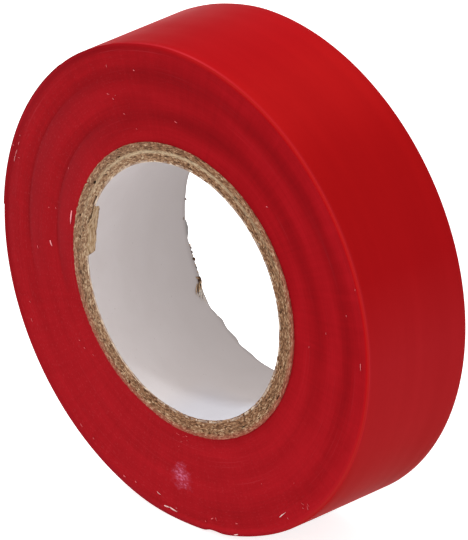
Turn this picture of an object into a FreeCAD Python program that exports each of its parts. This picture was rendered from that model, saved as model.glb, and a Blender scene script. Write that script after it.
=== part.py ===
import FreeCAD, Part
import math
import os

# Roll of electrical tape, in millimetres.
# The roll stands on its tread as on a table: the bore runs along Y, +Z is up, and the
# origin is the middle of the bore. Angles go round the bore from +X towards +Z.

# Tape
tape_width = 19.0
tape_thickness = 0.13
roll_diameter = 72.8

# Core: a paper tube wound from a white liner and strips of brown board
bore_diameter = 38.0
liner_thickness = 0.3
ply_thickness = 0.6
ply_count = 4
core_overhang = 0.3
board_strip_width = 70.0
seam_gap = 0.3
seam_angles = [40.0, 194.0, 239.0, 152.0]

# Free end of the tape, which peels off the roll
free_edge_angle = 178.0
tail_length = 28.6
tail_segment_count = 6
tail_clearance = 0.04
segment_gap = 0.04

# Margin by which a cutting shape passes the material that it cuts
cut_margin = 1.0

core_length = tape_width + 2 * core_overhang
liner_radius = bore_diameter / 2
board_radius = liner_radius + liner_thickness
core_radius = board_radius + ply_count * ply_thickness

# The tape grows the roll by its own thickness in every turn, so the last turn is a
# spiral. Four quarter arcs draw it, with centres on the corners of a small square.
quarter_growth = tape_thickness / 4
turn_start_radius = roll_diameter / 2 - 1.5 * tape_thickness

tail_arc = math.degrees(tail_length / (roll_diameter / 2))
peel_angle = 360.0 - tail_arc
segment_arc = tail_arc / tail_segment_count


def in_plane(radius, angle):
    """Vector of a length and angle in the plane across the bore."""
    turn = math.radians(angle)
    return FreeCAD.Vector(radius * math.cos(turn), 0, radius * math.sin(turn))


def spiral_point(turned, height, quarter):
    """Point on the last turn, `turned` degrees from its start, `height` over its underside."""
    centre = in_plane(quarter_growth / math.sqrt(2), free_edge_angle + 135 + 90 * quarter)
    radius = turn_start_radius + (quarter + 0.5) * quarter_growth + height
    return centre + in_plane(radius, free_edge_angle + turned)


def spiral_arcs(start, end, height):
    """Arcs of the spiral between two turned angles, one for each quarter that they cross."""
    corners = [corner for corner in (90, 180, 270) if start < corner < end]
    stops = [start] + corners + [end]
    arcs = []
    for first, last in zip(stops, stops[1:]):
        middle = (first + last) / 2
        quarter = int(middle // 90)
        points = [spiral_point(turned, height, quarter) for turned in (first, middle, last)]
        arcs.append(Part.Arc(*points).toShape())
    return arcs


def across_tape(face):
    """Solid of a flat face in the plane across the bore, as wide as the tape."""
    face.translate(FreeCAD.Vector(0, -tape_width / 2, 0))
    return face.extrude(FreeCAD.Vector(0, tape_width, 0))


def tape_strip(start, end, lift):
    """Length of the last turn between two turned angles, lifted off the turn below."""
    underside = spiral_arcs(start, end, lift)
    outside = spiral_arcs(start, end, lift + tape_thickness)
    first_edge = Part.makeLine(underside[0].Vertexes[0].Point, outside[0].Vertexes[0].Point)
    last_edge = Part.makeLine(underside[-1].Vertexes[-1].Point, outside[-1].Vertexes[-1].Point)
    outline = Part.Wire(Part.__sortEdges__(underside + outside + [first_edge, last_edge]))
    return across_tape(Part.Face(outline))


def ring(inner_radius, outer_radius, length):
    """Plain ring round the bore, centred on the origin."""
    base = FreeCAD.Vector(0, -length / 2, 0)
    along = FreeCAD.Vector(0, 1, 0)
    outside = Part.makeCylinder(outer_radius, length, base, along)
    return outside.cut(Part.makeCylinder(inner_radius, length, base, along))


def butt_seam(inner_radius, front_angle):
    """Slot between the two edges of a board strip, which climbs round the core as a helix.

    The slot is twice as deep as the strip, so that it passes both of its surfaces.
    """
    radius = inner_radius + ply_thickness / 2
    girth = 2 * math.pi * radius
    pitch = board_strip_width * girth / math.sqrt(girth ** 2 - board_strip_width ** 2)
    helix = Part.makeHelix(pitch, core_length + 2 * cut_margin, radius)
    tangent = FreeCAD.Vector(0, girth, pitch).normalize()
    radial = FreeCAD.Vector(1, 0, 0)
    sideways = radial.cross(tangent)
    half_depth = radial * ply_thickness
    half_gap = sideways * (seam_gap / 2)
    start = radial * radius
    corners = [start - half_depth - half_gap, start + half_depth - half_gap,
               start + half_depth + half_gap, start - half_depth + half_gap]
    section = Part.makePolygon(corners + [corners[0]])
    slot = Part.Wire(helix.Edges).makePipeShell([section], True, True)
    slot.rotate(FreeCAD.Vector(), FreeCAD.Vector(1, 0, 0), -90)
    slot.translate(FreeCAD.Vector(0, -core_length / 2 - cut_margin, 0))
    margin_turn = 360 * cut_margin / pitch
    slot.rotate(FreeCAD.Vector(), FreeCAD.Vector(0, -1, 0), front_angle + margin_turn)
    return slot


def core_liner():
    """White paper that lines the bore."""
    return ring(liner_radius, board_radius, core_length)


def core_ply(index):
    """One strip of board wound into a tube, with the seam where its edges meet."""
    inner_radius = board_radius + index * ply_thickness
    tube = ring(inner_radius, inner_radius + ply_thickness, core_length)
    return tube.cut(butt_seam(inner_radius, seam_angles[index % len(seam_angles)]))


def tape_windings():
    """Wound pack under the last turn, with the step where that turn starts."""
    rim = spiral_arcs(0, 360, 0)
    step = Part.makeLine(rim[0].Vertexes[0].Point, rim[-1].Vertexes[-1].Point)
    outline = Part.Wire(Part.__sortEdges__(rim + [step]))
    pack = across_tape(Part.Face(outline))
    base = FreeCAD.Vector(0, -tape_width / 2, 0)
    return pack.cut(Part.makeCylinder(core_radius, tape_width, base, FreeCAD.Vector(0, 1, 0)))


def tape_outer_turn():
    """Last turn as far as the line where the free end starts to peel."""
    return tape_strip(0, peel_angle, 0)


def tape_tail(index):
    """One short length of the free end, with a hairline gap to the length before it."""
    gap_arc = math.degrees(segment_gap / (roll_diameter / 2))
    start = peel_angle + index * segment_arc + gap_arc
    return tape_strip(start, peel_angle + (index + 1) * segment_arc, tail_clearance)


os.makedirs("parts", exist_ok=True)

pieces = {"core_liner": core_liner(), "tape_windings": tape_windings(), "tape_outer_turn": tape_outer_turn()}
for index in range(ply_count):
    pieces[f"core_ply_{index + 1}"] = core_ply(index)
for index in range(tail_segment_count):
    pieces[f"tape_tail_{index + 1}"] = tape_tail(index)

for name, shape in pieces.items():
    shape.exportStep(f"parts/{name}.step")
    print(f"{name}: {len(shape.Solids)} solid, valid {shape.isValid()}, volume {shape.Volume:.3f} mm3")
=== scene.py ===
import math

import bmesh
import bpy
from mathutils import Matrix, Vector, noise


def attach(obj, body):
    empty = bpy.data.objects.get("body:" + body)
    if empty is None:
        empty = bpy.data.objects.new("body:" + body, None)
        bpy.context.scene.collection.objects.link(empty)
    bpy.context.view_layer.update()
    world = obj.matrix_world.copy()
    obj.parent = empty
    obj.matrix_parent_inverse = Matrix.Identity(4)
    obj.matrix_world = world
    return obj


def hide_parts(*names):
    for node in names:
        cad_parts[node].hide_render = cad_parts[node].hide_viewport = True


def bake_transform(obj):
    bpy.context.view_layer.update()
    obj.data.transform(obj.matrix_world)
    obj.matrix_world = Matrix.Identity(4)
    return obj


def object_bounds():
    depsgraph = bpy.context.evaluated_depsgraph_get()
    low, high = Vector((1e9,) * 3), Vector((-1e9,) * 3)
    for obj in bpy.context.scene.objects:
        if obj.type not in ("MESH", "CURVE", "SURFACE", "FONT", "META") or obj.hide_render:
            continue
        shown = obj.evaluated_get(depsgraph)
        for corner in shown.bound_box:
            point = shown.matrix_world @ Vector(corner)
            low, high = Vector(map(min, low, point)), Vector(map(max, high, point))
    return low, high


# Roll of PVC electrical tape on a wound paper core, put together from the bore outwards.
# Sizes in the sections are millimetres and degrees. The bore runs along Y, +Z is up, and
# angles go round it from +X towards +Z.
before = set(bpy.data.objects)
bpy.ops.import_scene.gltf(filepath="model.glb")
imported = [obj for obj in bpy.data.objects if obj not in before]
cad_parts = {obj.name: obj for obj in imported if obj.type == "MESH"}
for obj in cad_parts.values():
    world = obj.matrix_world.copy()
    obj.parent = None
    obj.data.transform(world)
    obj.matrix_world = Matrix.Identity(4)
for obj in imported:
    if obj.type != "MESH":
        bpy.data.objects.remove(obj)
cad_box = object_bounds()


# ---- Bore liner ---------------------------------------------------------------------
# One strip of bleached paper, the first layer on the winding mandrel. The saw that cuts
# the cores to length leaves its ends ragged, and it is torn back at one place in front.

MM = 0.001
LINER_RADIUS = 19.0
LINER_THICKNESS = 0.3
CORE_HALF_LENGTH = 9.8
ROUND_STEPS = 900
# Slack for telling whether a corner lies on an end or on a side face
SLACK = 0.01
# Angle, and how far the front or the far edge is worn back from the end of the tube there
TEAR = [
    (157.2, 0), (158.4, 0.95), (161, 1.25), (165, 1.38), (172, 1.50), (178, 1.54), (181.6, 1.38),
    (182.7, 0)]
FAR_EDGE = [
    (0, 0.05), (150, 0.4), (165, 0.5), (175, 0.4), (184.4, 0.42), (186.6, 0.16), (188.7, 0.0), (190.6, 0.1),
    (193.5, 0.4), (198, 0.15), (210, 0.12), (214, 0.5), (219, 0.68), (225, 0.82), (228, 0.55), (232, 0.18),
    (236, 0.4), (242, 0.24), (246, 0.6), (250, 0.48), (253, 0.42), (257, 0.6), (270, 0.6), (285, 0.5),
    (330, 0.1), (360, 0.05)]


def pick(kind, wanted):
    """Select, in edit mode, the corners or the edges whose middle is wanted."""
    bpy.ops.mesh.select_mode(type=kind)
    bpy.ops.mesh.select_all(action="DESELECT")
    mesh = bmesh.from_edit_mesh(bpy.context.edit_object.data)
    for element in {"VERT": mesh.verts, "EDGE": mesh.edges}[kind]:
        corners = [element] if kind == "VERT" else element.verts
        middle = sum((corner.co for corner in corners), Vector()) / len(corners)
        if wanted(middle / MM):
            element.select_set(True)
    mesh.select_flush_mode()
    bmesh.update_edit_mesh(bpy.context.edit_object.data)


def apply_modifiers(piece):
    bpy.context.view_layer.objects.active = piece
    for modifier in list(piece.modifiers):
        bpy.ops.object.modifier_apply(modifier=modifier.name)


def start_piece(name):
    """Start a piece as a plane one millimetre wide, in edit mode."""
    bpy.ops.object.select_all(action="DESELECT")
    bpy.ops.mesh.primitive_plane_add(size=MM)
    bpy.context.object.name = name
    bpy.ops.object.mode_set(mode="EDIT")
    return bpy.context.object


def draw_wall(name, inner, outer, half_length, radial_cuts, length_cuts):
    """Start a ring with the outline of its wall, cut through at +X, and stay in edit mode."""
    ring = start_piece(name)
    bpy.ops.mesh.delete(type="ONLY_FACE")
    bpy.ops.mesh.select_all(action="SELECT")
    bpy.ops.transform.resize(value=(outer - inner, 2 * half_length, 1))
    bpy.ops.transform.translate(value=((inner + outer) / 2 * MM, 0, 0))
    pick("EDGE", lambda middle: abs(middle.y) > 0.9 * half_length)
    bpy.ops.mesh.subdivide(number_cuts=radial_cuts)
    pick("EDGE", lambda middle: abs(middle.y) < 0.9 * half_length)
    bpy.ops.mesh.subdivide(number_cuts=length_cuts)
    return ring


def turn_round(piece, start, sweep, steps):
    """Carry the drawn outline round the bore, from an angle through a sweep."""
    bpy.ops.mesh.select_all(action="SELECT")
    bpy.ops.mesh.spin(steps=1, angle=math.radians(start), axis=(0, 1, 0), dupli=True)
    bpy.ops.mesh.select_all(action="INVERT")
    bpy.ops.mesh.delete(type="VERT")
    bpy.ops.object.mode_set(mode="OBJECT")
    lathe = piece.modifiers.new("turn round the bore", "SCREW")
    lathe.axis = "Y"
    lathe.angle = math.radians(-sweep)
    lathe.steps = lathe.render_steps = steps
    lathe.use_merge_vertices = True
    apply_modifiers(piece)
    bpy.ops.object.mode_set(mode="EDIT")
    bpy.ops.mesh.select_all(action="SELECT")
    bpy.ops.mesh.remove_doubles(threshold=0.0001 * MM)
    bpy.ops.mesh.normals_make_consistent(inside=False)


def in_bore(radius, angle, along):
    """Point at a radius, an angle and a place along the bore, in millimetres."""
    turn = math.radians(angle)
    return Vector((radius * math.cos(turn), along, radius * math.sin(turn)))


def polar(point):
    """Radius, angle from 0 to 360 and place along the bore of a point given in metres."""
    x, along, z = point / MM
    return math.hypot(x, z), math.degrees(math.atan2(z, x)) % 360, along


def work_surface(piece, worked, smooth_below):
    """Move each corner to where a function puts it, and smooth edges that bend less than an angle.

    The function takes and gives a radius, an angle and a place along the bore.
    """
    for vertex in piece.data.vertices:
        vertex.co = in_bore(*worked(*polar(vertex.co))) * MM
    bpy.ops.object.shade_smooth_by_angle(angle=math.radians(smooth_below))


def grain(radius, angle, along, length, width, seed=0.0):
    """Unevenness from -1 to 1 whose grains are drawn out round the bore."""
    turn = math.radians(angle)
    reach = radius / length
    across = (radius + along) / width
    return noise.noise(Vector((reach * math.cos(turn), across + seed, reach * math.sin(turn))))


def soft_step(value, low, high):
    """0 up to low, 1 from high on, and smooth between."""
    share = min(1.0, max(0.0, (value - low) / (high - low)))
    return share * share * (3 - 2 * share)


def along_edge(angle, points):
    """Height at an angle on a line through points of angle and height, level outside them."""
    for (first, low), (last, high) in zip(points, points[1:]):
        if first <= angle <= last:
            return low + (high - low) * soft_step(angle, first, last)
    return points[0][1] if angle < points[0][0] else points[-1][1]


def hex_colour(code):
    """Linear colour of an sRGB hex value."""
    parts = [int(code[place:place + 2], 16) / 255 for place in (0, 2, 4)]
    linear = [part / 12.92 if part <= 0.04045 else ((part + 0.055) / 1.055) ** 2.4 for part in parts]
    return (*linear, 1.0)


def node(tree, kind, links=None, stops=(), **settings):
    """Add a node with its settings and colour stops, and set or link its inputs.

    An input takes a value, a hex colour, a socket, or another node for its first output.
    """
    made = tree.nodes.new(f"ShaderNode{kind}")
    for name, value in settings.items():
        setattr(made, name, value)
    for number, (position, code) in enumerate(stops):
        elements = made.color_ramp.elements
        stop = elements[number] if number < 2 else elements.new(position)
        stop.position, stop.color = position, hex_colour(code)
    for name, value in (links or {}).items():
        if isinstance(value, bpy.types.Node):
            value = value.outputs[0]
        if isinstance(value, bpy.types.NodeSocket):
            tree.links.new(value, made.inputs[name])
        else:
            made.inputs[name].default_value = hex_colour(value) if isinstance(value, str) else value
    return made


def start_material(name, **finish):
    """A material with a Principled shader, whose constant finish is set on its sockets."""
    material = bpy.data.materials.new(name)
    material.use_nodes = True
    shader = material.node_tree.nodes["Principled BSDF"]
    for socket, value in finish.items():
        shader.inputs[socket.replace("_", " ")].default_value = value
    return material, material.node_tree, shader


def polar_place(tree):
    """Radius and place along the bore in millimetres, and the angle in degrees from 0 to 360."""
    place = node(tree, "TexCoord").outputs["Object"]
    scaled = node(tree, "VectorMath", {0: place, "Scale": 1 / MM}, operation="SCALE")
    flat = node(tree, "VectorMath", {0: scaled, 1: (1, 0, 1)}, operation="MULTIPLY")
    radius = node(tree, "VectorMath", {0: flat}, operation="LENGTH").outputs["Value"]
    parts = node(tree, "SeparateXYZ", {0: scaled}).outputs
    turn = node(tree, "Math", {0: parts["Z"], 1: parts["X"]}, operation="ARCTAN2")
    turn = node(tree, "Math", {0: turn, 1: 180 / math.pi, 2: 360.0}, operation="MULTIPLY_ADD")
    angle = node(tree, "Math", {0: turn, 1: 360.0}, operation="FLOORED_MODULO")
    return radius, angle, parts["Y"]


def round_the_bore(tree, length, width):
    """Coordinates in which a noise of scale 1 has grains of this size, drawn out round the bore."""
    place = node(tree, "TexCoord").outputs["Object"]
    flat = node(tree, "VectorMath", {0: place, 1: (1, 0, 1)}, operation="MULTIPLY")
    radius = node(tree, "VectorMath", {0: flat}, operation="LENGTH").outputs["Value"]
    unit = node(tree, "VectorMath", {0: flat}, operation="NORMALIZE")
    reach = node(tree, "VectorMath", {0: unit, "Scale": LINER_RADIUS / length}, operation="SCALE")
    along = node(tree, "SeparateXYZ", {0: place}).outputs["Y"]
    across = node(tree, "Math", {0: radius, 1: along}, operation="ADD")
    across = node(tree, "Math", {0: across, 1: 1 / (width * MM)}, operation="MULTIPLY")
    slot = node(tree, "CombineXYZ", {"Y": across})
    return node(tree, "VectorMath", {0: reach, 1: slot}, operation="ADD")


def grain_pattern(tree, length, width, detail, roughness=0.5):
    """Pattern of uneven grains of this length round the bore and this width, in millimetres."""
    place = round_the_bore(tree, length, width)
    return node(tree, "TexNoise", {"Vector": place, "Scale": 1.0, "Detail": detail, "Roughness": roughness})


def between_angles(tree, angle, start, full, fading, end, strength=1.0):
    """Strength of a mark that comes in round the bore from start to full, and fades to its end."""
    coming = node(tree, "MapRange", {"Value": angle, "From Min": start, "From Max": full, "To Max": strength})
    return node(tree, "MapRange", {"Value": angle, "From Min": end, "From Max": fading, "To Max": coming})


def lay_over(tree, colours, *layers):
    """Colours with others laid over them in turn, each given as a share and a colour."""
    for share, colour in layers:
        colours = node(tree, "MixRGB", {"Fac": share, "Color1": colours, "Color2": colour})
    return colours


def dress(tree, shader, colours, relief=None, strength=0.0, depth=0.0):
    """Link colours to a shader, and a relief of this strength and depth in millimetres."""
    tree.links.new(colours.outputs[0], shader.inputs["Base Color"])
    if relief is not None:
        bump = node(tree, "Bump", {"Height": relief, "Strength": strength, "Distance": depth * MM})
        tree.links.new(bump.outputs[0], shader.inputs["Normal"])


def liner_surface(radius, angle, along):
    fuzz = 0.07 * abs(grain(radius, angle, 0, 0.6, 1)) + 0.08 * abs(grain(radius, angle, 0, 2.5, 1, 7.0))
    torn = along_edge(angle, TEAR)
    front = 0.03 + 0.8 * fuzz + torn * (1 + 0.10 * grain(19, angle, 0, 0.7, 1, 4.0))
    back = along_edge(angle, FAR_EDGE) + 0.5 * fuzz
    share = (along + CORE_HALF_LENGTH) / (2 * CORE_HALF_LENGTH)
    along += front * (1 - share) ** 3 - back * share ** 3
    if radius < LINER_RADIUS + 0.1:
        radius += 0.02 * grain(radius, angle, along, 6, 5, 3.0)
    return radius, angle, along


liner = draw_wall("liner_tube", LINER_RADIUS, LINER_RADIUS + LINER_THICKNESS, CORE_HALF_LENGTH,
                  radial_cuts=1, length_cuts=30)
turn_round(liner, start=0, sweep=360, steps=ROUND_STEPS)
bpy.ops.object.mode_set(mode="OBJECT")
sawn = liner.data.attributes.new("sawn", "FLOAT", "POINT")
for vertex, share in zip(liner.data.vertices, sawn.data):
    if abs(vertex.co.y) > (CORE_HALF_LENGTH - SLACK) * MM:
        share.value = math.copysign(1.0, vertex.co.y)
work_surface(liner, liner_surface, smooth_below=50)

# Bleached kraft paper, machine finished: matt off-white with a faint cloudy formation, fine
# fibres that lie round the tube and a few grey specks of the recycled layer behind. Shade is
# painted on it: it is painted greyer deeper into the bore towards the far end, and duller at the
# lamp-lit bottom in front, where a bluish tint of the lamp's light is painted too. It is brown
# with board fibres on its sawn edge in front and greyed by saw dust near the far end, with
# painted shade along the far rim and a painted shadow where the far end juts out.
paper, tree, shader = start_material("bleached_kraft_paper", Roughness=0.8, IOR=1.5, Specular_IOR_Level=0.2)
angle_here, along_here = polar_place(tree)[1:]
clouds = grain_pattern(tree, 5.0, 4.0, detail=4)
fibres = grain_pattern(tree, 1.2, 0.25, detail=3)
specks = grain_pattern(tree, 0.5, 0.35, detail=1)
specks = node(tree, "MapRange", {"Value": specks, "From Min": 0.74, "From Max": 0.83, "To Max": 0.45})
# Painted shade: the lamp-lit bottom of the bore in front is painted duller.
painted_lighting = node(tree, "MapRange", {"Value": along_here, "From Min": -1.0, "From Max": -6.5, "To Max": 0.5})
painted_lighting = node(tree, "MapRange", {"Value": angle_here, "From Min": 250, "From Max": 282, "To Max": painted_lighting})
# Painted shade: the paper is painted greyer deeper into the bore, towards the far end.
painted_bore_shade = node(tree, "MapRange", {"Value": along_here, "From Min": -9.5, "From Max": 9.5, "To Max": 0.82})
painted_bore_shade = node(tree, "Math", {0: painted_bore_shade, 1: painted_lighting}, operation="ADD")
# Painted light: the bluish tint of the lamp on the lit bottom of the bore in front.
painted_lamp_tint = node(tree, "MapRange", {"Value": along_here, "From Min": 0.5, "From Max": -3.5, "To Max": 0.3})
painted_lamp_tint = node(tree, "MapRange", {"Value": angle_here, "From Min": 254, "From Max": 268, "To Max": painted_lamp_tint})
sawn = node(tree, "Attribute", attribute_name="sawn").outputs["Fac"]
cut_edge = node(tree, "MapRange", {"Value": sawn, "From Min": -0.86, "From Max": -0.97, "To Max": 0.85})
smeared = node(tree, "ValToRGB", {"Fac": fibres}, [(0.36, "7C5C45"), (0.64, "EAD8BC"), (0.5, "B09072")])
# Saw dust near the far end, and painted shade along the far rim.
sawdust_and_shade = node(tree, "MapRange", {"Value": along_here, "From Min": 8.7, "From Max": 9.6, "To Max": 0.55})
sawdust_and_shade = node(tree, "Math", {0: sawdust_and_shade, 1: clouds}, operation="MULTIPLY")
far_rim = node(tree, "MapRange", {"Value": sawn, "From Min": 0.66, "From Max": 0.95, "To Max": 0.65})
sawdust_and_shade = node(tree, "Math", {0: sawdust_and_shade, 1: far_rim}, operation="MAXIMUM")
# Painted shadow where the far end of the liner juts out.
curl_shadow = node(tree, "MapRange", {"Value": along_here, "From Min": 9.15, "From Max": 9.5, "To Max": 0.6})
curl_shadow = between_angles(tree, angle_here, 184.5, 186.5, 191.5, 195.0, curl_shadow)
colours = node(tree, "ValToRGB", {"Fac": clouds}, [(0.25, "E8E3E2"), (0.8, "F0ECEC")])
colours = lay_over(tree, colours, (specks, "A89C98"), (painted_bore_shade, "CAC5C4"), (painted_lamp_tint, "CDD6E8"),
                   (cut_edge, smeared), (sawdust_and_shade, "6E625C"), (curl_shadow, "7E8280"))
dress(tree, shader, colours, fibres, 0.25, 0.03)
liner.data.materials.append(paper)

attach(liner, "roll")
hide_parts("core_liner")


# ---- Board plies --------------------------------------------------------------------
# Four strips of brown recycled board, wound over the liner as spirals and glued. Each
# strip's edges meet in a seam that climbs round the core. The sawn ends are fibrous, pitted
# and a little frayed outwards, and at the upper left the glue shows as a pale line.

PLY_THICKNESS = 0.6
BOARD_RADIUS = LINER_RADIUS + LINER_THICKNESS
STRIP_WIDTH = 70.0
SEAM_GAP = 0.3
SEAM_ANGLES = [40.0, 194.0, 239.0, 152.0]
PLY_SETBACKS = [0.0, 0.02, 0.08, 0.05]
FRONT_ROW_SHIFT = 1.28
PLY_PIT_DEPTH = 0.25
GLUE_RADIUS = BOARD_RADIUS + 2 * PLY_THICKNESS
CORE_RADIUS = BOARD_RADIUS + 4 * PLY_THICKNESS
# Angle, and how far the first ply reaches into the bore or the last one flares at its front end
BOARD_REACH = [
    (0, 0.28), (90, 0.24), (108, 0.20), (124, 0.16), (146, 0.18), (154, 0.0), (184, 0.0), (195, 0.18),
    (206, 0.0), (246, 0.0), (257, 0.34), (285, 0.42), (330, 0.36), (360, 0.28)]
BOARD_FLARE = [
    (88, 0.0), (105, 0.20), (120, 0.27), (150, 0.30), (210, 0.36), (225, 0.22), (246, 0.0)]
# Angle and radius of points along the crack in the front end
CRACK = [
    (152.4, 19.40), (154.7, 19.34), (157.0, 19.44), (158.4, 19.32), (161.6, 19.17), (165.0, 19.42),
    (169.4, 19.60)]
# Angle, radius, half length and half width of each pit in the front end
PITS = [
    (148.3, 20.85, 0.34, 0.16), (154.7, 19.36, 0.42, 0.14), (163.6, 19.26, 0.5, 0.12),
    (176.0, 20.75, 0.3, 0.10), (188.0, 20.1, 0.3, 0.08), (205.0, 20.6, 0.35, 0.09),
    (128.0, 20.9, 0.3, 0.08), (100.0, 20.0, 0.35, 0.08), (60.0, 20.7, 0.3, 0.08), (251.0, 20.3, 0.3, 0.09),
    (305.0, 20.6, 0.35, 0.09), (194.9, 20.8, 0.34, 0.09), (332.0, 21.15, 0.45, 0.09),
    (166.5, 21.2, 0.2, 0.1), (172.0, 20.2, 0.25, 0.08), (83.0, 21.45, 0.5, 0.08), (140.0, 20.1, 0.22, 0.1),
    (284.0, 20.9, 0.3, 0.08)]


def share_towards(tree, angle, middle):
    """1 on the side of the bore at an angle, -1 on the opposite side, and a wave between."""
    off = node(tree, "Math", {0: angle, 1: math.pi / 180, 2: math.radians(-middle)}, operation="MULTIPLY_ADD")
    return node(tree, "Math", {0: off}, operation="COSINE")


# Brown recycled board, sawn: short pale and dark fibres two tenths of a millimetre wide lie
# mostly round the core, with pits between them that are painted dark as shade, and no gloss at
# all. Its inner layers are paler at the left and its outer ones darker at the top, and red dust
# of the tape lies along its outer edge.
board, tree, shader = start_material("recycled_brown_board", Roughness=0.95, IOR=1.45,
                                     Specular_IOR_Level=0.15)
radius_here, angle_here = polar_place(tree)[:2]
flakes = node(tree, "TexVoronoi", {"Vector": round_the_bore(tree, 0.36, 0.15), "Scale": 1.0})
flake_tone = node(tree, "SeparateColor", {0: flakes.outputs["Color"]})
streaks = grain_pattern(tree, 0.65, 0.19, detail=4, roughness=0.7)
inner_shade = node(tree, "MapRange", {"Value": radius_here, "From Min": 19.5, "From Max": 21.2,
                                      "To Min": -0.05, "To Max": 0.03})
shade = node(tree, "MapRange", {"Value": radius_here, "From Min": 20.5, "From Max": 20.9, "To Max": -0.07})
shade = between_angles(tree, angle_here, 65.0, 85.0, 125.0, 150.0, shade)
pale_side = between_angles(tree, angle_here, 80.0, 130.0, 190.0, 250.0)
bleached = node(tree, "MapRange", {"Value": radius_here, "From Min": 20.7, "From Max": 19.7, "To Max": 0.11})
bleached = node(tree, "Math", {0: bleached, 1: pale_side}, operation="MULTIPLY")
tone = node(tree, "Math", {0: flake_tone, 1: 0.36, 2: -0.18}, operation="MULTIPLY_ADD")
for part in (streaks, inner_shade, shade, bleached):
    tone = node(tree, "Math", {0: tone, 1: part}, operation="ADD")
greyed = node(tree, "Math", {0: pale_side, 1: 0.18}, operation="MULTIPLY")
waver = grain_pattern(tree, 3.0, 30.0, detail=2)
off_glue = node(tree, "Math", {0: waver, 1: 0.3, 2: radius_here}, operation="MULTIPLY_ADD")
off_glue = node(tree, "Math", {0: off_glue, 1: -GLUE_RADIUS - 0.15}, operation="ADD")
off_glue = node(tree, "Math", {0: off_glue}, operation="ABSOLUTE")
glue = node(tree, "MapRange", {"Value": off_glue, "From Min": 0.32, "From Max": 0.04, "To Max": 0.9})
glue = between_angles(tree, angle_here, 20.0, 75.0, 125.0, 185.0, glue)
glue_gaps = node(tree, "MapRange", {"Value": streaks, "From Min": 0.36, "From Max": 0.54, "To Min": 0.6})
glue = node(tree, "Math", {0: glue, 1: glue_gaps}, operation="MULTIPLY")
dusty_side = share_towards(tree, angle_here, 300)
dusty_side = node(tree, "MapRange", {"Value": dusty_side, "From Min": -0.6, "From Max": 0.6, "To Min": 0.12})
red_dust = node(tree, "MapRange", {"Value": radius_here, "From Min": 20.8, "From Max": 21.8, "To Max": 0.8})
red_dust = node(tree, "Math", {0: red_dust, 1: dusty_side}, operation="MULTIPLY")
# Painted shade: the cracks and pits of the front end are painted almost black.
pit_shade = node(tree, "Attribute", attribute_name="pit_shade").outputs["Fac"]
colours = node(tree, "ValToRGB", {"Fac": tone}, [(0.22, "47301F"), (0.38, "7C5941"), (0.50, "987152"),
                                                 (0.62, "B48D6C"), (0.80, "E6CFAC")])
colours = lay_over(tree, colours, (greyed, "9A8C78"), (glue, "D2BE9E"), (red_dust, "A8433C"),
                   (pit_shade, "140C07"))
dress(tree, shader, colours, tone, 0.7, 0.12)


def pit_depth(radius, angle):
    """How deep, as a share, the cracks and pits of the front end are at a place on it."""
    depth = 0.0
    for middle, pit_radius, half_length, half_width in PITS:
        if abs(angle - middle) < 5:
            off_middle = math.radians(angle - middle) * radius / half_length
            off = math.hypot(off_middle, (radius - pit_radius) / half_width)
            depth = max(depth, 1 - soft_step(off, 0.7, 1.3))
    if CRACK[0][0] < angle < CRACK[-1][0]:
        half_width = 0.20 - 0.10 * soft_step(angle, 155, 157.5)
        off = abs(radius - along_edge(angle, CRACK)) / half_width
        ends = soft_step(angle, 152, 152.8) * (1 - soft_step(angle, 166, 169.4))
        ends *= 1 - 0.4 * soft_step(angle, 155.5, 157)
        depth = max(depth, ends * (1 - soft_step(off, 0.6, 1.2)))
    return depth


def mark_pit_shade(piece):
    """Note on the front end of a piece where its cracks and pits are, for the material to paint them dark as
    shade.
    """
    pit_shade = piece.data.attributes.new("pit_shade", "FLOAT", "POINT")
    front = min(vertex.co.y for vertex in piece.data.vertices)
    for vertex, share in zip(piece.data.vertices, pit_shade.data):
        if vertex.co.y < front + SLACK * MM:
            share.value = pit_depth(*polar(vertex.co)[:2])


def close_ends():
    """Fill the open ends of the ring in edit mode, and leave edit mode."""
    bpy.ops.mesh.select_all(action="SELECT")
    bpy.ops.mesh.fill_holes(sides=0)
    bpy.ops.mesh.normals_make_consistent(inside=False)
    bpy.ops.object.mode_set(mode="OBJECT")


def sawn_end(radius, angle, seed):
    """How far a sawn end is below its highest fibres."""
    coarse = abs(grain(radius, angle, 0, 1.6, 0.5, seed))
    fine = abs(grain(radius, angle, 0, 0.5, 0.2, seed + 20))
    return 0.12 * coarse + 0.18 * fine


def ply_surface(index, radius, angle, along):
    if abs(along) < CORE_HALF_LENGTH - SLACK:
        return radius, angle, along
    in_front = along < 0
    seed = index * 3.7
    depth = PLY_SETBACKS[index] + sawn_end(radius, angle, seed)
    depth += PLY_PIT_DEPTH * pit_depth(radius, angle) if in_front else along_edge(angle, FAR_EDGE)
    along -= math.copysign(depth, along)
    radius += 0.04 * grain(radius, angle, 0, 0.7, 9, seed + 5)
    if in_front and radius < BOARD_RADIUS + 0.05:
        radius -= along_edge(angle, BOARD_REACH)
    if in_front and radius > CORE_RADIUS - 0.1:
        radius += along_edge(angle, BOARD_FLARE)
    return radius, angle, along


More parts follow.
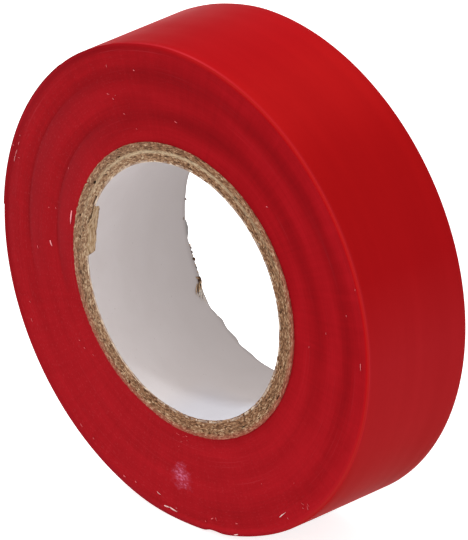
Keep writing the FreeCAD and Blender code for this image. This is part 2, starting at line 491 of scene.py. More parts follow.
for index, seam_angle in enumerate(SEAM_ANGLES):
    inner = BOARD_RADIUS + index * PLY_THICKNESS
    girth = 2 * math.pi * (inner + PLY_THICKNESS / 2)
    pitch = STRIP_WIDTH * girth / math.sqrt(girth ** 2 - STRIP_WIDTH ** 2)
    gap_angle = 360 * SEAM_GAP * math.hypot(girth, pitch) / pitch / girth
    twist = 360 * 2 * CORE_HALF_LENGTH / pitch

    ply = draw_wall(f"board_ply_{index + 1}", inner, inner + PLY_THICKNESS, CORE_HALF_LENGTH,
                    radial_cuts=6, length_cuts=10)
    # The row of corners behind the front end moves up near it, so that only the end is ragged.
    pick("VERT", lambda corner: -9 < corner.y < -7.5)
    bpy.ops.transform.translate(value=(0, -FRONT_ROW_SHIFT * MM, 0))
    turn_round(ply, seam_angle - twist / 2 + gap_angle / 2, 360 - gap_angle, ROUND_STEPS)
    close_ends()
    wind = ply.modifiers.new("wind as a spiral", "SIMPLE_DEFORM")
    wind.deform_method = "TWIST"
    wind.deform_axis = "Y"
    wind.angle = math.radians(twist)
    apply_modifiers(ply)

    mark_pit_shade(ply)
    work_surface(ply, lambda *place: ply_surface(index, *place), smooth_below=60)
    ply.data.materials.append(board)
    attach(ply, "roll")
    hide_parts(f"core_ply_{index + 1}")


# ---- Torn board ---------------------------------------------------------------------
# Where the liner is torn back, the top layer of the first ply has come up with it: a thin
# flake of pale, freshly torn board that stands off the ply and leaves a crack, painted dark as shade.

FLAKE_RADIUS = 19.06
FLAKE_THICKNESS = 0.20
FLAKE_HALF_LENGTH = 0.72
FLAKE_START = 157.6
FLAKE_SWEEP = 25.0
FLAKE_PIT_DEPTH = 0.3

flake = draw_wall("torn_board_flake", FLAKE_RADIUS, FLAKE_RADIUS + FLAKE_THICKNESS, FLAKE_HALF_LENGTH,
                  radial_cuts=2, length_cuts=8)
turn_round(flake, FLAKE_START, FLAKE_SWEEP, steps=150)
close_ends()
mark_pit_shade(flake)


def flake_surface(radius, angle, along):
    share = (along + FLAKE_HALF_LENGTH) / (2 * FLAKE_HALF_LENGTH)
    front = -CORE_HALF_LENGTH + 0.10 + 0.10 * abs(grain(19, angle, 0, 0.5, 1, 8.0))
    torn = along_edge(angle, TEAR) * (1 + 0.10 * grain(19, angle, 0, 0.7, 1, 4.0))
    back = -CORE_HALF_LENGTH + torn + 0.22 + 0.10 * grain(19, angle, 0, 0.45, 1, 15.0)
    if share < 0.01:
        front += FLAKE_PIT_DEPTH * pit_depth(radius, angle)
    along = front + max(0.15, back - front) * share
    lumps = 0.05 * grain(radius, angle, along, 1.3, 0.6, 2.0)
    radius += lumps + 0.03 * grain(radius, angle, along, 0.4, 0.3, 6.0)
    radius += 0.16 * soft_step(angle, 164, 171) * (1 - share)
    return radius, angle, along


work_surface(flake, flake_surface, smooth_below=50)

# The same board, torn and not sawn: paler and yellower, with long loose fibres, and painted
# dark as shade only in the crack and in a few hollows between the fibres.
torn_board, tree, shader = start_material("torn_brown_board", Roughness=0.95, IOR=1.45,
                                          Specular_IOR_Level=0.15)
strands = grain_pattern(tree, 1.1, 0.26, detail=4, roughness=0.65)
colours = node(tree, "ValToRGB", {"Fac": strands}, [(0.30, "4E3826"), (0.39, "9C7E60"), (0.48, "C8A882"),
                                                    (0.60, "DCC2A0"), (0.72, "F0E0C8")])
# Painted shade in the crack and in the hollows between the fibres.
pit_shade = node(tree, "Attribute", attribute_name="pit_shade").outputs["Fac"]
dress(tree, shader, lay_over(tree, colours, (pit_shade, "1C1008")), strands, 0.8, 0.15)
flake.data.materials.append(torn_board)

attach(flake, "roll")


# ---- Sawing burr --------------------------------------------------------------------
# Fibres that the saw pulled out of the far end of the core: a brown tuft and a few pale
# paper fibres that bend back over the liner, and single stubs along the edge.

BURR_ROOT_RADIUS = 18.96
BURR_TIP_RADIUS = 18.88
# Angle and place along the bore of each fibre's root and tip, its width, and what it is made
# of: 0 torn board, 1 paper, 2 charred board
BURR = [
    (210.4, 8.9, 212.4, 9.4, 0.18, 0), (210.6, 9.3, 213.4, 8.9, 0.20, 2),
    (210.8, 9.55, 213.5, 9.2, 0.24, 2), (211.7, 9.58, 214.6, 9.1, 0.24, 0),
    (212.4, 9.55, 215.6, 8.7, 0.20, 2), (210.7, 9.45, 212.6, 9.5, 0.22, 2),
    (213.0, 9.2, 217.0, 8.2, 0.20, 0), (213.3, 8.9, 217.5, 7.9, 0.16, 2), (213.2, 8.7, 216.2, 7.8, 0.12, 0),
    (213.8, 9.3, 216.6, 8.8, 0.18, 0), (215.6, 8.8, 219.2, 7.7, 0.12, 1), (215.2, 8.9, 220.9, 8.1, 0.14, 1),
    (215.6, 9.0, 222.2, 8.45, 0.12, 1), (214.8, 8.7, 218.0, 7.75, 0.10, 1),
    (216.5, 9.0, 223.8, 8.55, 0.07, 1), (215.4, 8.5, 218.9, 7.95, 0.12, 2),
    (215.8, 8.85, 220.4, 8.3, 0.11, 2), (214.6, 8.3, 217.4, 7.6, 0.11, 0),
    (215.2, 8.7, 219.8, 8.0, 0.07, 1), (216.0, 9.1, 221.4, 8.7, 0.08, 2),
    (174.6, 9.25, 175.8, 9.5, 0.16, 2), (183.3, 9.0, 184.7, 8.85, 0.09, 2),
    (196.0, 9.45, 197.0, 9.6, 0.12, 0), (197.2, 9.5, 198.4, 9.66, 0.14, 2),
    (199.2, 9.52, 200.4, 9.66, 0.16, 2), (200.8, 9.55, 201.6, 9.64, 0.10, 0),
    (202.2, 9.5, 203.8, 9.66, 0.30, 2), (205.0, 9.5, 205.9, 9.6, 0.12, 0),
    (206.2, 9.52, 207.2, 9.64, 0.13, 2), (208.4, 9.5, 209.2, 9.62, 0.12, 0),
    (229.0, 9.15, 230.4, 9.3, 0.08, 1), (243.2, 9.3, 244.4, 9.38, 0.08, 1)]

# Lift and taper of each sixth of a fibre, from its root to its tip
FIBRE_BENDS = [(0.5, 1.5), (0.3, 1.15), (0.1, 0.95), (-0.1, 0.85), (-0.3, 0.65), (-0.5, 0.3)]

# One fibre, drawn one unit long and about one wide, is the pattern for all of them.
bpy.ops.object.select_all(action="DESELECT")
bpy.ops.mesh.primitive_circle_add(vertices=7, radius=0.3, fill_type="NGON", rotation=(0, math.pi / 2, 0))
fibre = bpy.context.object
fibre.name = "fibre_pattern"
bpy.ops.object.transform_apply(location=True, rotation=True, scale=True)
bpy.ops.object.mode_set(mode="EDIT")
bpy.ops.mesh.select_all(action="SELECT")
step = 1 / len(FIBRE_BENDS)
reach, height = 0.0, 0.0
for lift, taper in FIBRE_BENDS:
    reach, height = reach + step, height + lift
    bpy.ops.mesh.extrude_region_move(TRANSFORM_OT_translate={"value": (step, 0, lift)})
    bpy.ops.transform.resize(value=(taper, taper, taper), center_override=(reach, 0, height))
bpy.ops.mesh.select_all(action="SELECT")
bpy.ops.mesh.normals_make_consistent(inside=False)
bpy.ops.object.mode_set(mode="OBJECT")
bpy.ops.object.shade_smooth()


def lay_copy(start, end, outwards, width, thickness, material):
    """Copy the fibre pattern so that it lies from start to end, given in millimetres."""
    along = end - start
    side = outwards.cross(along).normalized()
    placing = Matrix((along, side * width, along.cross(side).normalized() * thickness)).transposed().to_4x4()
    placing.translation = start
    copy = fibre.copy()
    copy.data = fibre.data.copy()
    copy.data.transform(Matrix.Scale(MM, 4) @ placing)
    copy.data.materials.append(material)
    bpy.context.collection.objects.link(copy)
    return copy


def join_copies(copies, name):
    """Join copies into one piece with the given name."""
    bpy.ops.object.select_all(action="DESELECT")
    for copy in copies:
        copy.select_set(True)
    bpy.context.view_layer.objects.active = copies[0]
    bpy.ops.object.join()
    copies[0].name = name
    return copies[0]


# Pulled paper fibres: bleached, matt, with a faint stain of glue along them.
pulled_paper, tree, shader = start_material("pulled_paper_fibre", Roughness=0.85, IOR=1.5,
                                            Specular_IOR_Level=0.2)
stain = grain_pattern(tree, 0.4, 0.3, detail=2)
colours = node(tree, "ValToRGB", {"Fac": stain}, [(0.35, "DCCDB8"), (0.60, "FFFAF2")])
dress(tree, shader, colours)

# Board fibres that the saw has charred: dark brown with paler ends of fibres.
charred, tree, shader = start_material("charred_board_fibre", Roughness=0.95, IOR=1.45,
                                       Specular_IOR_Level=0.1)
char = grain_pattern(tree, 0.3, 0.2, detail=3)
colours = node(tree, "ValToRGB", {"Fac": char}, [(0.38, "2C1E14"), (0.55, "644630"), (0.7, "8E6C4C")])
dress(tree, shader, colours)

fibres = []
for angle, along, end_angle, end_along, width, kind in BURR:
    root = in_bore(BURR_ROOT_RADIUS, angle, along)
    tip = in_bore(BURR_TIP_RADIUS, end_angle, end_along)
    inwards = -in_bore(1, (angle + end_angle) / 2, 0)
    material = (torn_board, pulled_paper, charred)[kind]
    fibres.append(lay_copy(root, tip, inwards, 1.4 * width, 0.35 * width, material))
burr = join_copies(fibres, "sawing_burr")
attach(burr, "roll")


# ---- Wound tape ---------------------------------------------------------------------
# Some hundred turns of calendered PVC film, wound tight on the core. The slit edges make
# the side faces: almost flat, with a shallow trough inside a rounded rim, a slow spiral of
# darker turns, and a knock at the bottom of the front rim.

TAPE_HALF_WIDTH = 9.5
TAPE_THICKNESS = 0.13
ROLL_RADIUS = 36.4
FREE_EDGE_ANGLE = 178.0
QUARTER_GROWTH = TAPE_THICKNESS / 4
TURN_START_RADIUS = ROLL_RADIUS - 1.5 * TAPE_THICKNESS
BAND_SPACING = 5.7
BAND_RADIUS = 26.4
TROUGH_DEPTH = 0.07
BAND_DEPTH = 0.022
LOOSE_DEPTH = 0.012
FIRST_TURNS_DEPTH = 0.05
RIM_ROUNDING = 0.06
RIM_WIDTH = 0.5
OUTSIDE_RADIUS = 36.0
FRONT_SEED = 2.0
BACK_SEED = 31.0


def last_turn_underside(turned):
    """Radius of the underside of the last turn, at an angle turned from its start."""
    quarter = min(3, max(0, int(turned // 90)))
    corner = math.radians(FREE_EDGE_ANGLE + 135 + 90 * quarter)
    turn = math.radians(FREE_EDGE_ANGLE + turned)
    radius = TURN_START_RADIUS + (quarter + 0.5) * QUARTER_GROWTH
    offset = QUARTER_GROWTH / math.sqrt(2)
    x = offset * math.cos(corner) + radius * math.cos(turn)
    z = offset * math.sin(corner) + radius * math.sin(turn)
    return math.hypot(x, z)


def knocked(radius, angle, along):
    """How far the rim is out of round: a flat and a knock at the bottom in front."""
    near_front = 1 - soft_step(along, -9.5, -4.5)
    near_rim = soft_step(radius, ROLL_RADIUS - 5, ROLL_RADIUS - 0.3)
    flat = 0.25 * soft_step(angle, 256, 272) * (1 - soft_step(angle, 290, 311))
    knock = 0.28 * soft_step(angle, 276.0, 278.2) * (1 - soft_step(angle, 278.5, 283.0))
    slack = 0.16 * soft_step(angle, 94, 108) * (1 - soft_step(angle, 114, 130))
    return near_rim * (near_front * (flat + knock) + slack)


def rim_round(below_outside):
    """How far the last turns have settled back from the widest, by their depth in the roll."""
    return RIM_ROUNDING * max(0.0, 1 - below_outside / RIM_WIDTH) ** 2


def band_drift(angle):
    """Share of a band's spacing by which the spiral has come inwards at an angle."""
    return 0.05 * angle / 130 if angle < 130 else 0.05 + 0.95 * soft_step(angle, 130, 350)


def face_recess(radius, angle, seed):
    """How far the slit edges lie below the widest turns, at a place on a side face."""
    trough = TROUGH_DEPTH * soft_step(radius, 32.5, 35.2)
    phase = 2 * math.pi * ((radius - BAND_RADIUS) / BAND_SPACING + band_drift(angle))
    strong = 0.3 + 0.7 * (0.5 + 0.5 * math.cos(math.radians(angle - 110)))
    bands = BAND_DEPTH * strong * (1 - math.cos(phase))
    loose = LOOSE_DEPTH * (1 + grain(radius, angle, 0, 9.0, 0.9, seed))
    first_turns = FIRST_TURNS_DEPTH * soft_step(radius, CORE_RADIUS, CORE_RADIUS + 2)
    return (trough + bands + loose + first_turns) * (1 - soft_step(radius, 35.3, 36.0))


def pack_surface(radius, angle, along):
    turned = (angle - FREE_EDGE_ANGLE) % 360
    growth = last_turn_underside(turned) - TURN_START_RADIUS
    share = (radius - CORE_RADIUS) / (TURN_START_RADIUS - CORE_RADIUS)
    if abs(along) > TAPE_HALF_WIDTH - 0.1:
        recess = face_recess(radius, angle, FRONT_SEED if along < 0 else BACK_SEED)
        recess += rim_round(TURN_START_RADIUS + TAPE_THICKNESS - radius)
        along -= math.copysign(recess, along)
    radius += growth * share ** 4
    radius -= knocked(radius, angle, along)
    return radius, angle, along


pack = draw_wall("wound_tape", CORE_RADIUS, TURN_START_RADIUS, TAPE_HALF_WIDTH,
                 radial_cuts=70, length_cuts=4)
# The outermost turns are cut finer, for the rounding of the rim.
pick("EDGE", lambda middle: middle.x > TURN_START_RADIUS - 0.45 and abs(middle.y) > TAPE_HALF_WIDTH - SLACK)
bpy.ops.mesh.subdivide(number_cuts=2)
turn_round(pack, FREE_EDGE_ANGLE, sweep=360, steps=540)
bpy.ops.object.mode_set(mode="OBJECT")
work_surface(pack, pack_surface, smooth_below=40)

# Angles where the thin dark line starts, has come in, starts to fade and ends
LINE_ANGLES = (118.0, 150.0, 182.0, 200.0)

# Slit edges of calendered PVC: satin red. The slitting knives leave a fine grain across the
# turns and fine scratches, with powder on the lower left, where a pale wash of bounce light
# from the floor is painted. The slow spiral of darker turns is deepest at the upper right and
# turns brownish inwards of a thin dark line at the left. A patch at the bottom is scuffed and
# glossy, and painted pale as a reflection. The face is painted lighter towards the lower right,
# and its rim is painted brighter on the right and darker on the left, as light and shade.
edges, tree, shader = start_material("pvc_film_slit_edges", IOR=1.54, Specular_IOR_Level=0.004)
radius_here, angle_here, along_here = polar_place(tree)
drift = node(tree, "MapRange", {"Value": angle_here, "From Min": 130.0, "From Max": 350.0, "To Min": 0.05},
             interpolation_type="SMOOTHSTEP")
early = node(tree, "MapRange", {"Value": angle_here, "From Max": 130.0, "To Min": -0.05, "To Max": 0.0})
turns = node(tree, "Math", {0: radius_here, 1: 1 / BAND_SPACING, 2: -BAND_RADIUS / BAND_SPACING},
             operation="MULTIPLY_ADD")
for part in (drift, early):
    turns = node(tree, "Math", {0: turns, 1: part}, operation="ADD")
wave = node(tree, "Math", {0: turns, 1: 2 * math.pi}, operation="MULTIPLY")
wave = node(tree, "Math", {0: wave}, operation="COSINE")
wave = node(tree, "Math", {0: wave, 1: 0.5, 2: 0.5}, operation="MULTIPLY_ADD")
round_share = node(tree, "Math", {0: angle_here, 1: 1 / 360}, operation="MULTIPLY")
depth = node(tree, "ValToRGB", {"Fac": round_share}, [
    (0.0, "F0F0F0"), (1.0, "F0F0F0"), (0.05, "FFFFFF"), (0.26, "FFFFFF"), (0.36, "C0C0C0"), (0.50, "808080"),
    (0.60, "606060"), (0.75, "707070"), (0.90, "A0A0A0")])
broad = node(tree, "Math", {0: wave, 1: 1.4}, operation="POWER")
broad = node(tree, "Math", {0: broad, 1: depth}, operation="MULTIPLY")
thin = node(tree, "Math", {0: wave, 1: 24.0}, operation="POWER")
thin = between_angles(tree, angle_here, *LINE_ANGLES, thin)
cloud = grain_pattern(tree, 9.0, 2.4, detail=3)
knife = grain_pattern(tree, 0.4, 7.0, detail=2)
ribs = grain_pattern(tree, 9.0, 0.3, detail=2)
# Painted light: the face is painted lighter towards the lower right.
painted_lighting = share_towards(tree, angle_here, 308)
tone = node(tree, "Math", {0: broad, 1: -0.40, 2: -0.06}, operation="MULTIPLY_ADD")
for part, strength in ((thin, -0.34), (cloud, 0.7), (knife, 0.35), (ribs, 0.35), (painted_lighting, 0.11)):
    tone = node(tree, "Math", {0: part, 1: strength, 2: tone}, operation="MULTIPLY_ADD")

inside_band = node(tree, "Math", {0: turns}, operation="FRACT")
inside_band = node(tree, "MapRange", {"Value": inside_band, "From Min": 0.35, "To Max": 0.45})
inside_band = between_angles(tree, angle_here, *LINE_ANGLES, inside_band)
scratches = grain_pattern(tree, 11.0, 0.16, detail=2)
scratches = node(tree, "MapRange", {"Value": scratches, "From Min": 0.66, "From Max": 0.80, "To Max": 0.20})
left_half = share_towards(tree, angle_here, 215)
# Painted bounce light from the floor: a faint pale wash on the lower left.
painted_bounce_wash = node(tree, "MapRange", {"Value": left_half, "From Min": -0.95, "From Max": 0.6, "To Max": 0.013})
powdered = node(tree, "MapRange", {"Value": left_half, "From Min": -0.9, "From Max": 0.5, "To Max": 0.12})
powder = grain_pattern(tree, 0.24, 0.24, detail=2)
powder = node(tree, "MapRange", {"Value": powder, "From Min": 0.58, "From Max": 0.72, "To Max": powdered})
# A scuffed patch at the bottom: rubbed glossier, and painted pale as the reflection on its gloss.
off_angle = node(tree, "Math", {0: angle_here, 1: 1 / 3.6, 2: -268.6 / 3.6}, operation="MULTIPLY_ADD")
off_radius = node(tree, "Math", {0: radius_here, 1: 1 / 1.9, 2: -29.2 / 1.9}, operation="MULTIPLY_ADD")
off_patch = node(tree, "CombineXYZ", {"X": off_angle, "Y": off_radius})
off_patch = node(tree, "VectorMath", {0: off_patch}, operation="LENGTH").outputs["Value"]
ragged = grain_pattern(tree, 1.1, 1.0, detail=2)
off_patch = node(tree, "Math", {0: ragged, 1: 1.6, 2: off_patch}, operation="MULTIPLY_ADD")
scuff_and_reflection = node(tree, "MapRange", {"Value": off_patch, "From Min": 2.0, "From Max": 0.8})
rub = grain_pattern(tree, 0.36, 0.36, detail=4, roughness=0.75)
rub = node(tree, "MapRange", {"Value": rub, "From Min": 0.47, "From Max": 0.62,
                              "To Min": 0.14, "To Max": 0.95})
in_front = node(tree, "Math", {0: along_here, 1: 0.0}, operation="LESS_THAN")
for part in (rub, in_front):
    scuff_and_reflection = node(tree, "Math", {0: scuff_and_reflection, 1: part}, operation="MULTIPLY")
# Painted light and shade on the rounded rim: brighter on the right, darker round the left.
rim_shading_reds = node(tree, "ValToRGB", {"Fac": round_share}, [
    (0.0, "B80A12"), (1.0, "B80A12"), (0.17, "BE0910"), (0.25, "B5131A"), (0.33, "8F121A"), (0.42, "9E1B24"),
    (0.50, "93141B"), (0.58, "9F1921"), (0.75, "9C1C26"), (0.83, "A61B24"), (0.92, "B01B22")])
painted_rim_shading = node(tree, "MapRange", {"Value": radius_here, "From Min": 35.3, "From Max": 35.9})
# Painted highlight along the right rim.
right_half = share_towards(tree, angle_here, 15)
painted_rim_highlight = node(tree, "MapRange", {"Value": right_half, "From Min": 0.15, "From Max": 0.5, "To Max": 0.46})
painted_rim_highlight = node(tree, "MapRange", {"Value": radius_here, "From Min": 35.86, "From Max": 36.02, "To Max": painted_rim_highlight})
reds = node(tree, "ValToRGB", {"Fac": tone}, [(0.0, "880E15"), (1.0, "B41822"), (0.5, "9F121A")])
reds = lay_over(tree, reds, (inside_band, "98242C"), (scratches, "C8505A"), (painted_bounce_wash, "D88890"),
                (powder, "C85A62"), (scuff_and_reflection, "DC7CA0"), (painted_rim_shading, rim_shading_reds), (painted_rim_highlight, "BE2E2A"))
ribbing = node(tree, "Math", {0: ribs, 1: knife}, operation="ADD")
ribbing = node(tree, "Math", {0: scuff_and_reflection, 1: 1.5, 2: ribbing}, operation="MULTIPLY_ADD")
dress(tree, shader, reds, ribbing, 0.3, 0.02)
sheen = node(tree, "MapRange", {"Value": scuff_and_reflection, "To Min": 0.5, "To Max": 0.3})
tree.links.new(sheen.outputs[0], shader.inputs["Roughness"])

# Calendered PVC film, the outside of each turn: smooth satin red with a very faint grain
# drawn out along the tape. Light and shade are painted round the turn: lighter from the lower
# right over the top, darker on the upper left and left. Its slit edges have a painted highlight
# at the top and painted shade on the left and bottom.
film, tree, shader = start_material("calendered_pvc_film", IOR=1.54, Specular_IOR_Level=0.005)
angle_here, along_here = polar_place(tree)[1:]
drawn = grain_pattern(tree, 30.0, 3.0, detail=3)
skin = grain_pattern(tree, 0.5, 0.4, detail=2)
round_share = node(tree, "Math", {0: angle_here, 1: 1 / 360}, operation="MULTIPLY")
# Painted light and shade round the turn: lighter from the lower right to the top, darker on the upper left
# and left.
reds = node(tree, "ValToRGB", {"Fac": round_share}, [
    (0.0, "C2242A"), (1.0, "C2242A"), (0.056, "BC161B"), (0.111, "C01619"), (0.139, "C4171A"),
    (0.167, "CA1B1D"), (0.194, "C91B1D"), (0.222, "C2161B"), (0.250, "BE151B"), (0.278, "B01219"),
    (0.306, "A71219"), (0.42, "A81219"), (0.556, "B61219"), (0.889, "C0201F"), (0.944, "C5272B")])
tone = node(tree, "Math", {0: skin, 1: 0.25, 2: drawn}, operation="MULTIPLY_ADD")
tone = node(tree, "MapRange", {"Value": tone, "From Min": 0.45, "From Max": 0.80, "To Max": 0.16})
off_middle = node(tree, "Math", {0: along_here}, operation="ABSOLUTE")
# Painted highlight on the slit edges at the top, and painted shade on the left and bottom.
painted_rim_shading = node(tree, "MapRange", {"Value": off_middle, "From Min": 9.05, "From Max": 9.45, "To Max": 0.55})
rim_shading_reds = node(tree, "ValToRGB", {"Fac": round_share}, [
    (0.0, "CA2A32"), (1.0, "CA2A32"), (0.20, "CA2A32"), (0.245, "DC3E48"), (0.285, "C42C36"),
    (0.31, "A0141C"), (0.33, "740C12"), (0.80, "840E15"), (0.88, "BC1921")])
dress(tree, shader, lay_over(tree, reds, (tone, "980C12"), (painted_rim_shading, rim_shading_reds)), skin, 0.12, 0.01)
sheen = node(tree, "MapRange", {"Value": drawn, "From Min": 0.3, "From Max": 0.7,
                                "To Min": 0.40, "To Max": 0.48})
tree.links.new(sheen.outputs[0], shader.inputs["Roughness"])

pack.data.materials.append(edges)
pack.data.materials.append(film)
for face in pack.data.polygons:
    outside = abs(face.normal.y) < 0.5 and polar(face.center)[0] > OUTSIDE_RADIUS
    face.material_index = 1 if outside else 0

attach(pack, "roll")
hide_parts("tape_windings")


# ---- Slit-edge slivers --------------------------------------------------------------
# Hair-thin shavings that the slitting knives left on the edges of the film. They cling flat
# to the front face, most of them near the rim, and look pink to almost white on the red.

LONG_SLIVER = 0.75
SLIVER_LIFT = 0.015
SLIVER_THICKNESS = 0.05
# Radius and angle of each sliver's two ends, and its width
SLIVERS = [
    (23.10, 167.9, 23.02, 173.3, 0.17), (27.04, 182.7, 26.66, 184.5, 0.16),
    (35.33, 165.9, 35.36, 163.9, 0.055), (35.36, 163.9, 35.25, 162.3, 0.05),
    (34.84, 164.2, 34.41, 164.0, 0.10), (35.31, 160.2, 35.27, 161.2, 0.09),
    (36.11, 162.0, 35.88, 161.8, 0.13), (35.56, 158.3, 35.39, 158.6, 0.10),
    (27.58, 172.1, 27.32, 172.0, 0.14), (26.20, 170.8, 26.03, 170.7, 0.12),
    (29.71, 185.7, 29.60, 186.6, 0.11), (25.81, 153.8, 25.56, 154.3, 0.10),
    (35.24, 263.1, 35.01, 265.0, 0.15), (35.01, 265.0, 35.10, 267.4, 0.17),
    (35.42, 249.5, 35.33, 250.2, 0.20), (34.67, 253.2, 34.75, 253.7, 0.18),
    (33.76, 260.5, 33.86, 261.8, 0.07), (34.55, 266.9, 34.57, 267.4, 0.12),
    (34.65, 276.7, 34.87, 277.0, 0.12), (34.15, 278.8, 33.88, 279.7, 0.14),
    (33.71, 280.5, 34.20, 280.7, 0.13), (34.18, 287.2, 34.25, 287.9, 0.14),
    (34.22, 303.3, 33.90, 306.2, 0.08), (34.69, 305.9, 35.03, 306.1, 0.10),
    (34.69, 314.2, 35.31, 313.8, 0.12), (33.58, 117.5, 33.08, 117.6, 0.10),
    (29.62, 121.2, 29.40, 120.4, 0.15), (28.78, 119.7, 28.53, 119.2, 0.14),
    (26.32, 117.2, 26.11, 116.5, 0.14), (25.61, 94.2, 25.50, 93.0, 0.17),
    (32.33, 108.2, 32.18, 107.6, 0.12), (23.89, 113.6, 23.72, 113.1, 0.11),
    (33.67, 201.4, 33.45, 201.8, 0.17), (34.44, 205.7, 34.42, 206.6, 0.12),
    (25.99, 215.0, 25.73, 215.5, 0.11), (25.59, 217.8, 25.48, 218.5, 0.09),
    (24.56, 221.2, 24.44, 221.9, 0.10), (35.09, 233.1, 35.19, 234.0, 0.10),
    (34.76, 237.7, 34.76, 238.3, 0.10), (22.66, 265.9, 22.73, 267.5, 0.05),
    (22.81, 269.0, 22.6, 270.2, 0.04), (22.44, 270.5, 22.4, 271.6, 0.05), (23.75, 268.0, 23.6, 268.8, 0.05),
    (24.69, 267.2, 24.5, 267.6, 0.05), (23.0, 271.0, 23.1, 271.8, 0.05), (34.48, 1.2, 34.56, -0.7, 0.055),
    (32.60, 12.9, 32.59, 12.3, 0.12), (35.35, 19.4, 35.32, 18.9, 0.10), (24.54, 0.0, 24.58, -0.7, 0.08),
    (28.03, 6.6, 28.03, 5.9, 0.07), (28.88, 301.8, 29.07, 302.0, 0.09), (30.94, 314.4, 31.15, 314.3, 0.08),
    (33.86, 312.9, 34.34, 313.5, 0.06), (34.48, 314.7, 34.99, 314.7, 0.06),
    (34.52, 312.4, 34.79, 312.8, 0.07), (24.55, 49.0, 24.81, 48.4, 0.12), (29.1, 118.2, 29.0, 117.9, 0.09),
    (35.9, 286.0, 35.8, 287.4, 0.12)]

# Slit film on edge, thin enough to look milky: the long shavings are pink, and almost white
# where they stand off the face at the bottom.
shavings, tree, shader = start_material("milky_pvc_shavings", Roughness=0.4, IOR=1.54, Specular_IOR_Level=0.3)
angle_here = polar_place(tree)[1]
milk = grain_pattern(tree, 0.5, 0.5, detail=2)
milky = node(tree, "ValToRGB", {"Fac": milk}, [(0.35, "E89C9C"), (0.60, "FFE4E0")])
bottom = share_towards(tree, angle_here, 275)
bottom = node(tree, "MapRange", {"Value": bottom, "From Min": 0.72, "From Max": 0.85})
dress(tree, shader, lay_over(tree, "FF9EA2", (bottom, milky)))

# Slitting dust: the same film in crumbs, through which the red behind shows.
dust, tree, shader = start_material("pink_pvc_slitting_dust", Roughness=0.5, IOR=1.54, Specular_IOR_Level=0.2)
milk = grain_pattern(tree, 0.3, 0.3, detail=2)
colours = node(tree, "ValToRGB", {"Fac": milk}, [(0.35, "C83C42"), (0.65, "F07A80")])
dress(tree, shader, colours)

pieces = []
for radius, angle, end_radius, end_angle, width in SLIVERS:
    start, end = [in_bore(far, turn, -TAPE_HALF_WIDTH + face_recess(far, turn, FRONT_SEED) - SLIVER_LIFT)
                  for far, turn in ((radius, angle), (end_radius, end_angle))]
    if (end - start).length > LONG_SLIVER:
        width, material = 1.5 * width, shavings
    else:
        width, material = 1.1 * width, dust
    pieces.append(lay_copy(start, end, Vector((0, -1, 0)), width, SLIVER_THICKNESS, material))
slivers = join_copies(pieces, "slit_edge_slivers")
bpy.data.objects.remove(fibre)
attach(slivers, "roll")


# ---- Last turn and free end ---------------------------------------------------------
# The last turn lies stuck on the pack as far as the line where its end lifts. The end is
# the part that a user peels: one film, made in six lengths laid end to end, each lifted a
# little off the turn below.

TAIL_LENGTH = 28.6
TAIL_LENGTHS = 6
TAIL_LIFT = 0.04
TAIL_ARC = math.degrees(TAIL_LENGTH / ROLL_RADIUS)
PEEL_TURNED = 360 - TAIL_ARC
LENGTH_ARC = TAIL_ARC / TAIL_LENGTHS
LAST_TURN_START = -0.7
RIM_BEVEL = 0.06
PRESSED_IN = 0.005

# Rubber adhesive on the underside of the film: the red shows through it, a little deeper
# and wetter than the outside, with the faint cross marks of unwinding.
glue_side, tree, shader = start_material("rubber_adhesive_on_pvc", Roughness=0.3, IOR=1.52,
                                         Specular_IOR_Level=0.2)
marks = grain_pattern(tree, 0.5, 6.0, detail=3)
reds = node(tree, "ValToRGB", {"Fac": marks}, [(0.35, "860A10"), (0.7, "A0121A")])
dress(tree, shader, reds, marks, 0.3, 0.03)


def outwardness(face):
    """How far a face looks away from the bore, from -1 to 1."""
    return face.normal.dot(Vector((face.center.x, 0, face.center.z)).normalized())


def tape_length(name, start, end, lift, steps):
    """A length of the last turn between two turned angles, lifted off the turn below."""
    strip = start_piece(name)
    pick("VERT", lambda corner: corner.x < 0)
    bpy.ops.mesh.delete(type="VERT")
    bpy.ops.mesh.select_all(action="SELECT")
    bpy.ops.transform.resize(value=(1, 2 * TAPE_HALF_WIDTH, 1))
    bpy.ops.transform.translate(value=((TURN_START_RADIUS - 0.5) * MM, 0, 0))
    bpy.ops.mesh.subdivide(number_cuts=12)
    turn_round(strip, FREE_EDGE_ANGLE + start, end - start, steps)
    bpy.ops.object.mode_set(mode="OBJECT")
    if outwardness(strip.data.polygons[0]) < 0:
        strip.data.flip_normals()
    wall = strip.modifiers.new("film thickness", "SOLIDIFY")
    wall.thickness = TAPE_THICKNESS * MM
    wall.offset = 1
    apply_modifiers(strip)
    bpy.ops.object.mode_set(mode="EDIT")
    pick("EDGE", lambda middle: abs(middle.y) > TAPE_HALF_WIDTH - SLACK
         and math.hypot(middle.x, middle.z) > TURN_START_RADIUS + TAPE_THICKNESS / 2 + 0.02)
    bpy.ops.mesh.bevel(offset=RIM_BEVEL * MM, segments=2)
    bpy.ops.object.mode_set(mode="OBJECT")

    def strip_surface(radius, angle, along):
        turned = (angle - FREE_EDGE_ANGLE) % 360
        # A corner at the start or end of the turn stays on its own side of the free edge.
        if start < 1 and turned > 330:
            turned -= 360
        if end > 359 and turned < 0.1:
            turned = 360
        if abs(along) > TAPE_HALF_WIDTH - 0.1:
            along -= math.copysign(rim_round(TURN_START_RADIUS + TAPE_THICKNESS - radius), along)
        radius += last_turn_underside(turned) - TURN_START_RADIUS + lift - PRESSED_IN
        radius -= knocked(radius, angle, along)
        return radius, angle, along

    work_surface(strip, strip_surface, smooth_below=40)
    strip.data.materials.append(film)
    strip.data.materials.append(glue_side)
    for face in strip.data.polygons:
        face.material_index = 1 if outwardness(face) < -0.7 else 0
    return strip


last_turn = tape_length("last_turn", LAST_TURN_START, PEEL_TURNED, lift=0, steps=480)
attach(last_turn, "roll")
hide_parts("tape_outer_turn")

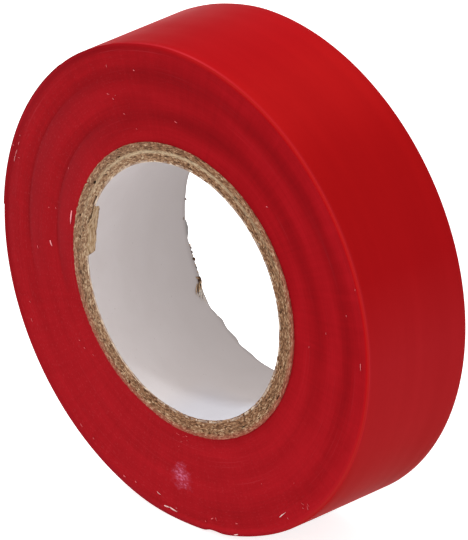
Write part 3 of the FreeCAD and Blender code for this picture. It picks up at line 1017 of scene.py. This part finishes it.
for number in range(1, TAIL_LENGTHS + 1):
    start = PEEL_TURNED + max(0, (number - 1.5) * LENGTH_ARC)
    bent = PEEL_TURNED + (number - 0.5) * LENGTH_ARC
    end = 360 if number == TAIL_LENGTHS else bent
    strip = tape_length(f"free_end_{number}", start, end, TAIL_LIFT, steps=18)
    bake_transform(strip)
    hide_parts(f"tape_tail_{number}")


# ---- Floor, light and camera --------------------------------------------------------
# A plain white table. One soft lamp stands high on the left, a little in front of the
# roll, and the white room gives the rest, most of it from the front and the left. Lengths
# in this section are in metres.

FLOOR_SIZE = 8
FLOOR_GLOW = 0.82
ROOM_TOWARDS = (-0.32, -0.89, 0.32)
LAMP_TOWARDS = Vector((-0.6915, -0.2093, 0.6915))
LAMP_DISTANCE = 1.2
CAMERA_PLACE = (1.103005, -1.093431, 0.747100)
CAMERA_TOWARDS = Vector((-0.639919, 0.634536, -0.433436))
floor_height = cad_box[0].z


def seen_directly(tree):
    """1 for rays that show a thing itself, also in a reflection, and 0 for the light it gives."""
    rays = node(tree, "LightPath").outputs
    seen = node(tree, "Math", {0: rays["Is Camera Ray"], 1: rays["Is Glossy Ray"]}, operation="ADD")
    return node(tree, "Math", {0: seen, 1: rays["Is Transmission Ray"]}, operation="ADD", use_clamp=True)


bpy.ops.object.select_all(action="DESELECT")
bpy.ops.mesh.primitive_plane_add(size=FLOOR_SIZE, location=(0, 0, floor_height))
floor = bpy.context.object
floor.name = "floor"
# Matt white laminate. It glows only where it is seen, so that it looks white and doesn't
# light the roll.
white_table, tree, shader = start_material("white_table_laminate", Roughness=0.9)
shader.inputs["Base Color"].default_value = hex_colour("E4E4E4")
shader.inputs["Emission Color"].default_value = hex_colour("FFFFFF")
glow = node(tree, "Math", {0: seen_directly(tree), 1: FLOOR_GLOW}, operation="MULTIPLY")
tree.links.new(glow.outputs[0], shader.inputs["Emission Strength"])
floor.data.materials.append(white_table)

world = bpy.data.worlds.new("white_room")
bpy.context.scene.world = world
world.use_nodes = True
tree = world.node_tree
sky = tree.nodes["Background"]
seen = seen_directly(tree)
looking = node(tree, "TexCoord").outputs["Generated"]
towards = node(tree, "VectorMath", {0: looking, 1: ROOM_TOWARDS}, operation="DOT_PRODUCT").outputs["Value"]
room = node(tree, "MapRange", {"Value": towards, "From Min": -1.0, "To Min": 0.34, "To Max": 1.10})
level = node(tree, "Mix", {0: seen, 2: room, 3: 1.0})
tint = node(tree, "MixRGB", {"Fac": seen, "Color1": (1.0, 0.94, 0.92, 1), "Color2": "FFFFFF"})
tree.links.new(tint.outputs[0], sky.inputs["Color"])
tree.links.new(level.outputs[0], sky.inputs["Strength"])

bpy.ops.object.light_add(type="AREA", location=LAMP_TOWARDS * LAMP_DISTANCE)
lamp = bpy.context.object
lamp.name = "soft_lamp"
lamp.rotation_euler = (-LAMP_TOWARDS).to_track_quat("-Z", "Y").to_euler()
lamp.data.size = 0.14
lamp.data.energy = 5.0
lamp.data.color = (0.88, 0.94, 1.0)
lamp.visible_camera = False

# The camera stands where the photograph was taken from.
bpy.ops.object.camera_add(location=CAMERA_PLACE)
camera = bpy.context.object
camera.rotation_euler = CAMERA_TOWARDS.to_track_quat("-Z", "Y").to_euler()
camera.data.lens = 820.70
camera.data.sensor_width = 36
camera.data.clip_end = 100
bpy.context.scene.camera = camera
bpy.context.scene.view_settings.view_transform = "Standard"
